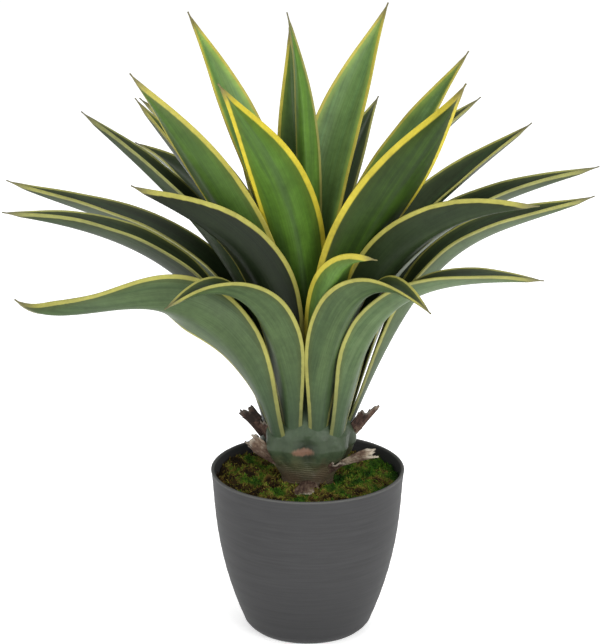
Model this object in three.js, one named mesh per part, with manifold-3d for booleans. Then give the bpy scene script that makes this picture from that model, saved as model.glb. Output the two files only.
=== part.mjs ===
// A potted agave with yellow-edged leaves: a round, tapering pot filled with soil under a cover of
// moss, a short stem with the dried stubs of cut leaves, and a rosette of long channelled leaves.
// Millimetres, +Z up. The origin is the middle of the pot's foot, and the pot's axis is the Z axis.
// Azimuths are degrees from +X towards +Y, so the front of the plant, at -Y, is at 270.
import * as THREE from "three";
import { mergeVertices } from "three/addons/utils/BufferGeometryUtils.js";
import Module from "manifold-3d";

const wasm = await Module();
wasm.setup();

// ---------------------------------------------------------------- driving dimensions

const GAP = 0.3; // between pieces that touch

const POT_HEIGHT = 157;
const POT_RIM_RADIUS = 90;
const POT_WALL = 3;
const POT_FLOOR = 4;
const POT_FOOT_RADIUS = 49; // the flat that the pot stands on
const POT_FOOT_ROUND = 8; // the height of the rounding from the flat to the wall
const POT_TAPER = 32; // how much narrower the wall is at the foot
const POT_CURVE = 2.2; // how late the wall narrows towards the foot
const POT_LIP = 2;
const POT_LIP_CURVE = 12; // how close to the rim the lip stands out
const POT_BEVEL = 0.8; // on both edges of the rim
const POT_FOOT_BEVEL = { width: 5, height: 2 };
const POT_SIDES = 36;
const POT_RINGS = { outside: 10, inside: 7, soil: 6 };

const SOIL_TOP = 136;
const MOSS_TOP = 146; // the mean height of the moss
const MOSS_BUMP = 3.5;
const MOSS_WAVES = { x: 9, y: 8, bendX: 12, bendY: 14 }; // how long its cushions and their bends are
const MOSS_RADII = [23, 38, 54, 70, 84];
const MOSS_SIDES = 30;

const STEM_RADIUS = 24;
const STEM_BOTTOM = 96; // how deep the stem goes in the soil
const STEM_SIDES = 44;
// The stem above the moss: it flares to the swollen bases of the lowest leaves, and closes in a
// cone on which the inner leaves stand. Radius and height.
const CROWN = [
  [24, 150],
  [32, 163],
  [39, 174],
  [43, 186],
  [44, 198],
  [42, 206],
  [37, 215],
  [30.5, 224],
  [24, 234],
  [17, 244],
  [9, 255],
];
const CROWN_TOP = 262;
const BASE_COUNT = 11; // swollen leaf bases around the crown
const BASE_AZIMUTH = 253; // the middle of one of them
const BASE_SWELL = 1.8;
const BASE_HEIGHT = 184; // where they stand out most
const BASE_SPREAD = 18; // how far above and below that they fade out

const STUB_SINK = 6; // how deep a stub starts inside the stem
const STUB_ROOT_WIDTH = 14;
const STUB_THICKNESS = 3;
const STUB_EDGE_THICKNESS = 2;
const STUB_CHANNEL = 22; // in degrees
const STUB_STATIONS = [0, 0.35, 0.7, 1];

const LEAF_ROOT_WIDTH = 17;
const LEAF_WIDEST_AT = 0.52; // the share of its length
const LEAF_TAPER = 2.2; // how late it narrows towards its tip
const LEAF_POINT = 1.35; // how drawn out its tip is
const LEAF_ROLLED_FROM = 0.55; // the share of its length
const LEAF_ROOT_THICKNESS = 4.6;
const LEAF_MIDDLE_THICKNESS = 3.6;
const LEAF_THIN_FROM = 0.5; // the share of its length
const LEAF_EDGE_THICKNESS = 1.8;
const LEAF_KEEL = 0.3; // the share of its half width that is round along its middle
const LEAF_ROOT_CHANNEL = 12; // in degrees, deepening to its tier's channel
const LEAF_CHANNEL_FROM = 0.45; // the share of its length
const LEAF_TIP_FOLD = 12; // in degrees, added towards its tip
const LEAF_TIP_FOLD_FROM = 0.7; // the share of its length
const LEAF_RINGS = 11;
const LEAF_LAST_RING = 0.975; // the share of its length where the tip's point starts
const LEAF_STEPS = 4; // across a leaf

// The rings of roots, from the lowest and widest leaves to the spear in the middle.
const TIERS = [
  { radius: 42, height: 196, channel: 28 },
  { radius: 37.5, height: 198, channel: 36 },
  { radius: 31.5, height: 207, channel: 36 },
  { radius: 25.5, height: 216, channel: 34 },
  { radius: 19.5, height: 226, channel: 28 },
  { radius: 13.5, height: 236, channel: 26 },
  { radius: 7, height: 245, channel: 26 },
  { radius: 3, height: 252, channel: 50 },
];

// Each leaf: the tier and azimuth of its root; the azimuth, reach from the axis and height of its
// tip; its slope at the root and how far it keeps it; the same at the tip; the azimuth that the tip
// points to; the azimuth that its back is turned to towards the tip; its greatest width; and how
// far it rolls about its own length from its middle on.
// tier, from, to, reach, height, rise, lift, fall, trail, aim, face, width, roll
const LEAVES = [
  // the lowest and widest leaves
  [1, 285, 309, 168, 347, 81, 122, -38, 80, 335, 294, 53, 0],
  [0, 310, 337, 224, 364, 76, 141, 2, 130, 346, 332, 54, 0],
  [1, 351, 357, 257, 421, 69, 221, 22, 112, 2, 338, 52, 12],
  [1, 19, 37, 228, 356, 72, 124, -8, 110, 40, 36, 42, 0],
  [1, 50, 54, 225, 346, 70, 110, -20, 100, 46, 46, 52, 0],
  [1, 82, 87, 215, 333, 70, 110, -25, 100, 80, 80, 52, 0],
  [1, 115, 119, 225, 352, 70, 110, -18, 100, 114, 114, 52, 0],
  [1, 152, 151, 178, 290, 68, 104, -45, 80, 148, 148, 54, 0],
  [0, 229, 190, 266, 334, 71, 244, 42, 78, 182, 240, 64, 44],
  [1, 248, 222, 167, 345, 84, 118, -32, 80, 190, 232, 52, 0],
  [1, 187, 188, 274, 412, 75, 150, 10, 130, 186, 183, 56, 0],
  // the second tier
  [2, 160, 162, 297, 408, 81, 172, 20, 120, 166, 170, 50, 0],
  [2, 241, 202, 167, 443, 83, 165, 28, 110, 180, 236, 60, 12],
  [2, 28, 10, 271, 433, 75, 172, 16, 130, 8, 10, 50, 0],
  [2, 63, 62, 265, 420, 76, 140, 10, 120, 60, 60, 50, 0],
  [2, 94, 96, 262, 418, 82, 140, 10, 120, 96, 96, 50, 0],
  [2, 128, 130, 262, 418, 76, 140, 10, 120, 130, 130, 50, 0],
  // the third tier
  [3, 192, 167, 212, 484, 82, 140, 40, 110, 165, 175, 54, 0],
  [3, 291, 295, 140, 394, 80, 90, 0, 62, 325, 298, 40, -24],
  [3, 332, 334, 222, 434, 77, 122, 5, 120, 350, 316, 61, -30],
  [3, 11, 15, 212, 472, 85, 145, 38, 110, 14, 35, 52, 0],
  [3, 58, 36, 200, 482, 86, 170, 32, 90, 32, 40, 48, 0],
  [3, 100, 72, 222, 462, 78, 130, 24, 110, 72, 78, 42, 0],
  [3, 137, 138, 215, 475, 82, 130, 30, 110, 140, 140, 52, 0],
  // the fourth tier
  [4, 300, 325, 164, 541, 86, 140, 60, 120, 345, 262, 60, 0],
  [4, 231, 191, 159, 536, 81, 125, 54, 120, 185, 250, 52, 0],
  [4, 171, 158, 171, 493, 84, 130, 50, 100, 155, 165, 48, 0],
  [4, 113, 120, 150, 481, 84, 120, 50, 100, 120, 120, 44, 0],
  // the fifth tier
  [5, 272, 219, 100, 534, 89, 170, 56, 110, 190, 285, 56, 0],
  [5, 163, 150, 126, 573, 88, 140, 62, 120, 150, 130, 54, 0],
  [5, 20, 38, 190, 526, 86, 140, 50, 120, 36, 50, 48, 0],
  [5, 92, 100, 100, 552, 81, 150, 78, 120, 100, 100, 44, 0],
  // the middle
  [6, 60, 50, 114, 577, 91, 190, 58, 120, 46, 75, 52, 0],
  [7, 240, 190, 19, 585, 89, 200, 76, 90, 190, 265, 33, 0],
];

// The stubs of the leaves that were cut off, dried and brown, low on the stem: the azimuth and
// height where each leaves the stem, the azimuth and slope that it points to, the azimuth that its
// back is turned to, its length and its width.
const STUBS = [
  { from: 196, height: 184, to: 190, rise: 52, face: 238, length: 34, width: 24 },
  { from: 206, height: 178, to: 198, rise: 64, face: 222, length: 28, width: 20 },
  { from: 214, height: 158, to: 197, rise: 40, face: 250, length: 42, width: 26 },
  { from: 236, height: 152, to: 170, rise: 54, face: 236, length: 42, width: 15 },
  { from: 271, height: 154, to: 271, rise: -20, face: 91, length: 14, width: 32 },
  { from: 303, height: 152, to: 330, rise: 34, face: 300, length: 26, width: 24 },
  { from: 322, height: 160, to: 338, rise: 24, face: 296, length: 44, width: 28 },
  { from: 345, height: 184, to: 350, rise: 54, face: 304, length: 36, width: 22 },
  { from: 35, height: 164, to: 35, rise: 40, face: 35, length: 38, width: 28 },
  { from: 85, height: 170, to: 85, rise: 50, face: 85, length: 40, width: 26 },
  { from: 145, height: 162, to: 145, rise: 38, face: 145, length: 40, width: 28 },
];

// ---------------------------------------------------------------- finishes

const finish = (color, roughness) => new THREE.MeshStandardMaterial({ color, roughness, metalness: 0 });
const POT_GREY = finish(0x4b4c4e, 0.62);
const SOIL_BROWN = finish(0x3a2b1e, 0.95);
const MOSS_GREEN = finish(0x56701f, 0.95);
const STEM_GREEN = finish(0x5a6a4a, 0.7);
const LEAF_GREEN = finish(0x3f6a3c, 0.45);

// ---------------------------------------------------------------- shared geometry

const radians = THREE.MathUtils.degToRad;
const mix = THREE.MathUtils.lerp;
const smooth = (x) => THREE.MathUtils.smoothstep(x, 0, 1);

function heading(azimuth, slope) {
  const a = radians(azimuth);
  const e = radians(slope);
  return new THREE.Vector3(Math.cos(e) * Math.cos(a), Math.cos(e) * Math.sin(a), Math.sin(e));
}

const polar = (azimuth, radius, height) => heading(azimuth, 0).multiplyScalar(radius).setZ(height);

function meshGeometry(points, faces) {
  const geometry = new THREE.BufferGeometry();
  geometry.setAttribute("position", new THREE.Float32BufferAttribute(points.flatMap((p) => p.toArray()), 3));
  geometry.setIndex(faces.flat());
  return geometry;
}

function toSolid(geometry) {
  const bare = new THREE.BufferGeometry().setAttribute("position", geometry.getAttribute("position"));
  bare.setIndex(geometry.index);
  const merged = mergeVertices(bare, 1e-3);
  const vertProperties = new Float32Array(merged.getAttribute("position").array);
  return new wasm.Manifold(
    new wasm.Mesh({ numProp: 3, vertProperties, triVerts: new Uint32Array(merged.index.array) }),
  );
}

function fromSolid(solid) {
  const { numProp, vertProperties, triVerts } = solid.getMesh();
  const geometry = new THREE.BufferGeometry();
  const positions = new Float32Array((vertProperties.length / numProp) * 3);
  for (let i = 0; i < positions.length / 3; i++) {
    positions.set(vertProperties.subarray(i * numProp, i * numProp + 3), i * 3);
  }
  geometry.setAttribute("position", new THREE.BufferAttribute(positions, 3));
  geometry.setIndex([...triVerts]);
  return geometry;
}

// A profile of [radius, height] pairs turned about the Z axis.
function turned(profile, sides) {
  const points = profile.map(([radius, height]) => new THREE.Vector2(radius, height));
  return new THREE.LatheGeometry(points, sides).rotateX(Math.PI / 2);
}

const group = new THREE.Group();

function addPiece(name, geometry, material) {
  const mesh = new THREE.Mesh(geometry, material);
  mesh.name = name;
  group.add(mesh);
}

// ---------------------------------------------------------------- blades

// A blade along a centreline. width(s), thickness(s) and channel(s), in degrees, give its section at
// the share s of its length, facing(s) the azimuth that its back is turned to, and roll(s) how far
// it is rolled about its length from there. Each ring runs across the upper face and back across the
// lower one, and both faces are split into triangles alike.
function blade({ curve, stations, width, thickness, edge, channel, facing, roll, sharp }) {
  const across = Array.from({ length: LEAF_STEPS + 1 }, (_, i) => -1 + (2 * i) / LEAF_STEPS);
  const bend = (v) => (Math.hypot(v, LEAF_KEEL) - LEAF_KEEL) / (Math.hypot(1, LEAF_KEEL) - LEAF_KEEL);
  const points = [];
  for (const s of stations) {
    const along = curve.getTangentAt(s);
    const side = heading(facing(s) + 90, 0);
    side.addScaledVector(along, -side.dot(along)).normalize();
    side.applyAxisAngle(along, radians(roll(s)));
    const up = new THREE.Vector3().crossVectors(along, side);
    const half = width(s) / 2;
    const slope = radians(channel(s));
    const place = (v, face) => {
      const depth = mix(thickness(s), edge, v * v) / 2;
      return curve
        .getPointAt(s)
        .addScaledVector(side, half * Math.cos(slope) * v)
        .addScaledVector(up, half * Math.sin(slope) * bend(v) + face * depth);
    };
    points.push(...across.map((v) => place(v, 1)), ...across.map((v) => place(v, -1)));
  }
  const n = LEAF_STEPS + 1;
  const faces = [];
  const last = stations.length - 1;
  for (let j = 0; j < last; j++) {
    const a = j * 2 * n;
    const b = a + 2 * n;
    for (let i = 0; i < LEAF_STEPS; i++) {
      faces.push([a + i, b + i, b + i + 1], [a + i, b + i + 1, a + i + 1]);
      faces.push([a + n + i, b + n + i + 1, b + n + i], [a + n + i, a + n + i + 1, b + n + i + 1]);
    }
    faces.push([a, a + n, b + n], [a, b + n, b]);
    faces.push([a + n - 1, b + n - 1, b + 2 * n - 1], [a + n - 1, b + 2 * n - 1, a + 2 * n - 1]);
  }
  for (let i = 0; i < LEAF_STEPS; i++) {
    faces.push([i, i + 1, n + i + 1], [i, n + i + 1, n + i]);
  }
  const e = last * 2 * n;
  if (sharp) {
    const tip = points.push(curve.getPointAt(1)) - 1;
    for (let i = 0; i < LEAF_STEPS; i++) {
      faces.push([e + i, tip, e + i + 1], [e + n + i, e + n + i + 1, tip]);
    }
    faces.push([e, e + n, tip], [e + n - 1, tip, e + 2 * n - 1]);
  } else {
    for (let i = 0; i < LEAF_STEPS; i++) {
      faces.push([e + i, e + n + i + 1, e + i + 1], [e + i, e + n + i, e + n + i + 1]);
    }
  }
  return meshGeometry(points, faces);
}

// ---------------------------------------------------------------- pot, soil and moss

// The pot's outside radius at a height: it widens quickly above its foot and slowly below its rim,
// whose lip stands out a little.
function potRadius(z) {
  const share = z / POT_HEIGHT;
  const body = POT_RIM_RADIUS - POT_LIP - POT_TAPER * (1 - share) ** POT_CURVE;
  return body + POT_LIP * share ** POT_LIP_CURVE;
}

const potHeights = (from, to, steps) => Array.from({ length: steps + 1 }, (_, i) => mix(from, to, i / steps));

function potGeometry() {
  const edge = POT_HEIGHT - POT_BEVEL;
  const inner = POT_RIM_RADIUS - POT_WALL;
  const outside = potHeights(POT_FOOT_ROUND, edge, POT_RINGS.outside).map((z) => [potRadius(z), z]);
  const inside = potHeights(edge, POT_FLOOR + POT_FOOT_ROUND, POT_RINGS.inside).map((z) => [
    potRadius(z) - POT_WALL,
    z,
  ]);
  return turned(
    [
      [0, 0],
      [POT_FOOT_RADIUS, 0],
      [POT_FOOT_RADIUS + POT_FOOT_BEVEL.width, POT_FOOT_BEVEL.height],
      ...outside,
      [POT_RIM_RADIUS - POT_BEVEL, POT_HEIGHT],
      [inner + POT_BEVEL, POT_HEIGHT],
      ...inside,
      [POT_FOOT_RADIUS, POT_FLOOR],
      [0, POT_FLOOR],
    ],
    POT_SIDES,
  );
}

// The soil fills the pot to a little under its rim, with a plain hole for the stem.
function soilGeometry() {
  const hole = STEM_RADIUS + GAP;
  const floor = POT_FLOOR + GAP;
  const side = potHeights(POT_FLOOR + POT_FOOT_ROUND, SOIL_TOP, POT_RINGS.soil).map((z) => [
    potRadius(z) - POT_WALL - 2 * GAP,
    z,
  ]);
  return turned(
    [
      [0, floor],
      [POT_FOOT_RADIUS - 2 * GAP, floor],
      ...side,
      [hole, SOIL_TOP],
      [hole, STEM_BOTTOM - GAP],
      [0, STEM_BOTTOM - GAP],
    ],
    POT_SIDES,
  );
}

// The moss lies on the soil in low cushions, up to the stem and its lowest stubs.
function mossBump(x, y) {
  const across = x / MOSS_WAVES.x + Math.sin(y / MOSS_WAVES.bendY);
  const away = y / MOSS_WAVES.y - Math.sin(x / MOSS_WAVES.bendX);
  return MOSS_BUMP * Math.sin(across) * Math.sin(away);
}

function mossGeometry() {
  const bottom = SOIL_TOP + GAP;
  const inner = MOSS_RADII[0];
  const outer = MOSS_RADII.at(-1);
  const cover = MOSS_RADII.toReversed().map((radius) => [radius, MOSS_TOP]);
  const geometry = turned([[inner, bottom], [outer, bottom], ...cover, [inner, bottom]], MOSS_SIDES);
  const place = geometry.getAttribute("position");
  for (let i = 0; i < place.count; i++) {
    if (place.getZ(i) > bottom + GAP) {
      place.setZ(i, MOSS_TOP + mossBump(place.getX(i), place.getY(i)));
    }
  }
  return geometry;
}

// ---------------------------------------------------------------- stem

// The stem, grown outwards by a margin where something is cut clear of it.
function stemGeometry(grow) {
  const geometry = turned(
    [
      [0, STEM_BOTTOM - grow],
      [STEM_RADIUS + grow, STEM_BOTTOM - grow],
      ...CROWN.map(([radius, height]) => [radius + grow, height]),
      [0, CROWN_TOP + grow],
    ],
    STEM_SIDES,
  );
  const place = geometry.getAttribute("position");
  for (let i = 0; i < place.count; i++) {
    const [x, y, z] = [place.getX(i), place.getY(i), place.getZ(i)];
    const fade = Math.max(0, 1 - ((z - BASE_HEIGHT) / BASE_SPREAD) ** 2);
    const wave = Math.cos(BASE_COUNT * (Math.atan2(y, x) - radians(BASE_AZIMUTH)));
    const swell = 1 + (BASE_SWELL * fade * wave) / Math.max(Math.hypot(x, y), STEM_RADIUS);
    place.setXY(i, x * swell, y * swell);
  }
  return geometry;
}

function stubGeometry(stub, grow) {
  const radius = radiusAt(stub.height) - STUB_SINK;
  const start = polar(stub.from, radius, stub.height);
  const end = heading(stub.to, stub.rise).multiplyScalar(stub.length + STUB_SINK + grow).add(start);
  return blade({
    curve: new THREE.LineCurve3(start, end),
    stations: STUB_STATIONS,
    width: (s) => mix(STUB_ROOT_WIDTH, stub.width, smooth(s)) + 2 * grow,
    thickness: () => STUB_THICKNESS + 2 * grow,
    edge: STUB_EDGE_THICKNESS + 2 * grow,
    channel: () => STUB_CHANNEL,
    facing: () => stub.face,
    roll: () => 0,
    sharp: false,
  });
}

// The stem's radius at a height in its flare.
function radiusAt(height) {
  const above = CROWN.findIndex(([, z]) => z > height);
  const [[r0, z0], [r1, z1]] = [CROWN[above - 1] ?? [STEM_RADIUS, STEM_BOTTOM], CROWN[above]];
  return mix(r0, r1, (height - z0) / (z1 - z0));
}

const stemSolid = (grow) =>
  STUBS.reduce((stem, stub) => stem.add(toSolid(stubGeometry(stub, grow))), toSolid(stemGeometry(grow)));

const clearOfStem = (geometry) => fromSolid(toSolid(geometry).subtract(stemSolid(GAP)));

// ---------------------------------------------------------------- leaves

function leafCurve(leaf) {
  const { radius, height } = TIERS[leaf.tier];
  const root = polar(leaf.from, radius, height);
  const tip = polar(leaf.to, leaf.reach, leaf.height);
  return new THREE.CubicBezierCurve3(
    root,
    heading(leaf.from, leaf.rise).multiplyScalar(leaf.lift).add(root),
    heading(leaf.aim, leaf.fall).multiplyScalar(-leaf.trail).add(tip),
    tip,
  );
}

// A leaf's width at the share s of its length.
function leafWidth(leaf, s) {
  if (s < LEAF_WIDEST_AT) {
    return mix(LEAF_ROOT_WIDTH, leaf.width, Math.sin(((s / LEAF_WIDEST_AT) * Math.PI) / 2) ** 2);
  }
  return leaf.width * (1 - ((s - LEAF_WIDEST_AT) / (1 - LEAF_WIDEST_AT)) ** LEAF_TAPER) ** LEAF_POINT;
}

// A leaf's channel at the share s of its length, in degrees.
function leafChannel(leaf, s) {
  const fold = LEAF_TIP_FOLD * smooth((s - LEAF_TIP_FOLD_FROM) / (1 - LEAF_TIP_FOLD_FROM));
  return mix(LEAF_ROOT_CHANNEL, TIERS[leaf.tier].channel, smooth(s / LEAF_CHANNEL_FROM)) + fold;
}

function leafGeometry(leaf) {
  const turn = THREE.MathUtils.euclideanModulo(leaf.face - leaf.from + 180, 360) - 180;
  return blade({
    curve: leafCurve(leaf),
    stations: Array.from({ length: LEAF_RINGS }, (_, j) => (j / (LEAF_RINGS - 1)) * LEAF_LAST_RING),
    width: (s) => leafWidth(leaf, s),
    thickness: (s) => mix(LEAF_ROOT_THICKNESS, LEAF_MIDDLE_THICKNESS, smooth(s / LEAF_THIN_FROM)),
    edge: LEAF_EDGE_THICKNESS,
    channel: (s) => leafChannel(leaf, s),
    facing: (s) => leaf.from + turn * smooth(s),
    roll: (s) => leaf.roll * smooth(s / LEAF_ROLLED_FROM),
    sharp: true,
  });
}

// ---------------------------------------------------------------- assembly

addPiece("pot", potGeometry(), POT_GREY);
addPiece("soil", soilGeometry(), SOIL_BROWN);
addPiece("moss", clearOfStem(mossGeometry()), MOSS_GREEN);
addPiece("trunk", fromSolid(stemSolid(0)), STEM_GREEN);
LEAVES.forEach((row, i) => {
  const [tier, from, to, reach, height, rise, lift, fall, trail, aim, face, width, roll] = row;
  const leaf = { tier, from, to, reach, height, rise, lift, fall, trail, aim, face, width, roll };
  addPiece(`leaf_${String(i + 1).padStart(2, "0")}`, clearOfStem(leafGeometry(leaf)), LEAF_GREEN);
});

export default group;
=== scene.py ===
# A potted agave with yellow-edged leaves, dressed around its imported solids. Metres, +Z up, with
# the plant's front at -Y. Azimuths are degrees from +X towards +Y, so the front is at 270. The stem,
# the stubs and the leaves are worked out in millimetres, and their meshes are scaled by MM.
import math
import random

import bpy
import numpy as np
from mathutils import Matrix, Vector, noise


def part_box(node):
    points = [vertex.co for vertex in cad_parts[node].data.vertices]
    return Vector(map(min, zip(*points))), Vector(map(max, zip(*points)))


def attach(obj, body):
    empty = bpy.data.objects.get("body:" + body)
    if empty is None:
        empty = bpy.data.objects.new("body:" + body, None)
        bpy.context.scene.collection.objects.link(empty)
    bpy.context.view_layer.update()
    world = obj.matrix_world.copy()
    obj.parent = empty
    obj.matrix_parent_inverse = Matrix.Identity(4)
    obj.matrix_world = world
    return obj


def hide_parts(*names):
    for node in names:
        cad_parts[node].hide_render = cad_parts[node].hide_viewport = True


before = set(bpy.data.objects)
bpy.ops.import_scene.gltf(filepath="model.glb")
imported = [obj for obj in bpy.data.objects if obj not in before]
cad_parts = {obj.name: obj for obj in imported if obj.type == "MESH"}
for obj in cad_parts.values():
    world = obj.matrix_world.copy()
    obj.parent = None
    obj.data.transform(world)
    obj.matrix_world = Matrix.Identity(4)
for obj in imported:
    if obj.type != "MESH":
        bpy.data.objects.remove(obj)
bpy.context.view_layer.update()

# ---------------------------------------------------------------- camera
# It looks a little down on the plant from the front, from far enough away that the leaves which
# point at it look hardly longer than those that point away.

EYE = Vector((0.0, -2.2, 0.998))
LOOK_DOWN = math.radians(17.64)
LOOK_LEFT = math.radians(0.186)
LENS = 141.15  # millimetres

camera = bpy.data.objects.new("camera", bpy.data.cameras.new("camera"))
camera.data.lens = LENS
camera.location = EYE
camera.rotation_euler = (math.pi / 2 - LOOK_DOWN, 0.0, LOOK_LEFT)
bpy.context.scene.collection.objects.link(camera)
bpy.context.scene.camera = camera
bpy.context.scene.view_settings.view_transform = "Standard"

# ---------------------------------------------------------------- floor and light
# A plain pale studio floor, a strong wide softbox in front on the right and a weaker one on the left,
# so that the backs of the leaves are lit, and one above that lights their channels a little.

FLOOR_SIZE = 40.0
FLOOR_GLOW = 0.52  # keeps the floor as pale as a lit studio sweep
WORLD_LIGHT = 0.44
SOFTBOXES = {  # place, size in metres and power in watts
    "front_right": ((1.5, -2.6, 1.3), 1.6, 56.0),
    "front_left": ((-1.7, -2.2, 1.1), 1.6, 24.0),
    "above": ((0.2, 0.6, 2.6), 2.2, 36.0),
}
AIM = Vector((0.0, 0.0, 0.3))  # what the softboxes point at


def paint(red, green, blue):
    """A colour of 0 to 255 a channel, as a screen shows it, in the renderer's linear values."""
    levels = [c / 255 for c in (red, green, blue)]
    return (*[c / 12.92 if c < 0.04045 else ((c + 0.055) / 1.055) ** 2.4 for c in levels], 1.0)


def add_node(tree, kind, inputs=None, **settings):
    """A shader node with its settings, and with its inputs set or linked by name or number."""
    made = tree.nodes.new(kind)
    for key, value in settings.items():
        setattr(made, key, value)
    for key, value in (inputs or {}).items():
        if isinstance(value, bpy.types.NodeSocket):
            tree.links.new(value, made.inputs[key])
        else:
            made.inputs[key].default_value = value
    return made


def new_material(name, constants):
    """A material, its node tree and its Principled shader with its constant inputs set."""
    made = bpy.data.materials.new(name)
    made.use_nodes = True
    shader = made.node_tree.nodes["Principled BSDF"]
    for key, value in constants.items():
        shader.inputs[key].default_value = value
    return made, made.node_tree, shader


def add_piece(name, points, faces, *materials):
    """A smooth-shaded mesh object, in the frame's own coordinates."""
    mesh = bpy.data.meshes.new(name)
    mesh.from_pydata([tuple(p) for p in points], [], faces)
    mesh.validate()
    mesh.shade_smooth()
    for material in materials:
        mesh.materials.append(material)
    made = bpy.data.objects.new(name, mesh)
    bpy.context.scene.collection.objects.link(made)
    return made


floor_material, _, _ = new_material(
    "pale_floor",
    {
        "Base Color": (0.95, 0.95, 0.95, 1.0),
        "Roughness": 0.9,
        "Emission Color": (1.0, 1.0, 1.0, 1.0),
        "Emission Strength": FLOOR_GLOW,
    },
)
half = FLOOR_SIZE / 2
corners = [(-half, -half, 0), (half, -half, 0), (half, half, 0), (-half, half, 0)]
floor = add_piece("floor", corners, [(0, 1, 2, 3)], floor_material)

for name, (place, size, power) in SOFTBOXES.items():
    lamp = bpy.data.lights.new(name, "AREA")
    lamp.size = size
    lamp.energy = power
    softbox = bpy.data.objects.new(name, lamp)
    softbox.location = place
    softbox.rotation_euler = (AIM - Vector(place)).to_track_quat("-Z", "Y").to_euler()
    bpy.context.scene.collection.objects.link(softbox)

world = bpy.data.worlds.new("studio")
world.use_nodes = True
world.node_tree.nodes["Background"].inputs["Color"].default_value = (1.0, 1.0, 1.0, 1.0)
world.node_tree.nodes["Background"].inputs["Strength"].default_value = WORLD_LIGHT
bpy.context.scene.world = world

# ---------------------------------------------------------------- pot
# One moulded charcoal vessel, matt and slightly coarse, with fine turned lines around it, a thin
# lip at its rim and a small rounding above its flat foot.

MM = 0.001
POT_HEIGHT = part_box("pot")[1].z
POT_RIM_RADIUS = 90 * MM
POT_WALL = 3 * MM
POT_FLOOR = 4 * MM
POT_FOOT_RADIUS = 49 * MM  # the flat that the pot stands on
POT_FOOT_ROUND = 8 * MM  # the height of the rounding from the flat to the wall
POT_TAPER = 32 * MM  # how much narrower the wall is at the foot
POT_CURVE = 2.2  # how late the wall narrows towards the foot
POT_LIP = 2 * MM
POT_LIP_CURVE = 12  # how close to the rim the lip stands out
POT_SIDES = 192
POT_RINGS = 90
POT_INSIDE_BOTTOM = 14 * MM  # where the inside of the wall bends to the floor
POT_INSIDE_RINGS = 24
RIM_STEPS = 8
TURNED_LINE = 1.9 * MM  # between two of the fine lines around the pot
TURNED_DEPTH = 0.07 * MM
CHARCOAL = paint(46, 46, 47)
# painted highlight on the fine turned lines
CHARCOAL_PAINTED_HIGHLIGHT = paint(53, 53, 54)
POT_FOOT_PAINTED_SHADE = paint(30, 30, 31)
POT_FOOT_PAINTED_SHADE_TO = 95 * MM  # the height where the painted shade above the foot has faded out
PALE_RIM_EDGE = paint(112, 112, 108)


def ring_faces(rings, sides):
    """Faces that join rings of points, each to the next, and one to close each end."""
    faces = []
    for j in range(rings - 1):
        for k in range(sides):
            m = (k + 1) % sides
            faces.append((j * sides + k, j * sides + m, (j + 1) * sides + m, (j + 1) * sides + k))
    faces.append(tuple(reversed(range(sides))))
    faces.append(tuple(range((rings - 1) * sides, rings * sides)))
    return faces


def turned(profile, sides):
    """Points and faces of a profile of (radius, height) pairs turned about the axis."""
    points = []
    for radius, height in profile:
        for k in range(sides):
            a = math.tau * k / sides
            points.append((radius * math.cos(a), radius * math.sin(a), height))
    return points, ring_faces(len(profile), sides)


def pot_radius(z):
    """The radius of the pot's outside at a height."""
    share = z / POT_HEIGHT
    body = POT_RIM_RADIUS - POT_LIP - POT_TAPER * (1 - share) ** POT_CURVE
    return body + POT_LIP * share**POT_LIP_CURVE


def arc(centre, radius, start, end, steps):
    """Points of an arc in the plane of a profile, with angles in degrees."""
    angles = [math.radians(start + (end - start) * i / steps) for i in range(steps + 1)]
    return [(centre[0] + radius * math.cos(a), centre[1] + radius * math.sin(a)) for a in angles]


outside = []
for z in np.linspace(POT_FOOT_ROUND, POT_HEIGHT - POT_WALL / 2, POT_RINGS):
    line = TURNED_DEPTH * math.sin(math.tau * z / TURNED_LINE)
    outside.append((pot_radius(z) + line, z))
foot = [  # the flat, and the rounding from it to the wall
    (POT_FOOT_RADIUS - 4 * MM, 0.0),
    (POT_FOOT_RADIUS, 0.15 * MM),
    (POT_FOOT_RADIUS + 4.4 * MM, 1.6 * MM),
    (pot_radius(POT_FOOT_ROUND) - 2.6 * MM, 4.6 * MM),
]
rim_middle = (POT_RIM_RADIUS - POT_WALL / 2, POT_HEIGHT - POT_WALL / 2)
rim = arc(rim_middle, POT_WALL / 2, 0, 180, RIM_STEPS)
inside_heights = np.linspace(POT_HEIGHT - 2.5 * MM, POT_INSIDE_BOTTOM, POT_INSIDE_RINGS)
inside = [(pot_radius(z) - POT_WALL, z) for z in inside_heights]
pot_profile = foot + outside + rim + inside + [(POT_FOOT_RADIUS, POT_FLOOR)]


def mixed(tree, share, first, second, blend="MIX"):
    """A colour between two, by a share that is a number or a socket."""
    ends = {0: share, 6: first, 7: second}
    return add_node(tree, "ShaderNodeMix", ends, data_type="RGBA", blend_type=blend).outputs[2]


def ramp(tree, value, *stops):
    """A colour read from stops of (place, colour)."""
    node = add_node(tree, "ShaderNodeValToRGB", {"Fac": value})
    elements = node.color_ramp.elements
    while len(elements) < len(stops):
        elements.new(0.5)
    for element, (place, colour) in zip(elements, stops):
        element.position = place
        element.color = colour
    return node.outputs["Color"]


def calc(tree, operation, *values):
    """The result of a Math node on numbers or sockets."""
    return add_node(tree, "ShaderNodeMath", dict(enumerate(values)), operation=operation).outputs[0]


def times(tree, first, second):
    return calc(tree, "MULTIPLY", first, second)


def plus(tree, first, second):
    return calc(tree, "ADD", first, second)


def centred(tree, value):
    """A value around a half, such as a noise's, turned into one around nought."""
    return calc(tree, "SUBTRACT", value, 0.5)


def noise_at(tree, place, scale, detail):
    """A noise texture's value."""
    sockets = {"Vector": place, "Scale": scale, "Detail": detail}
    return add_node(tree, "ShaderNodeTexNoise", sockets).outputs["Fac"]


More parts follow.
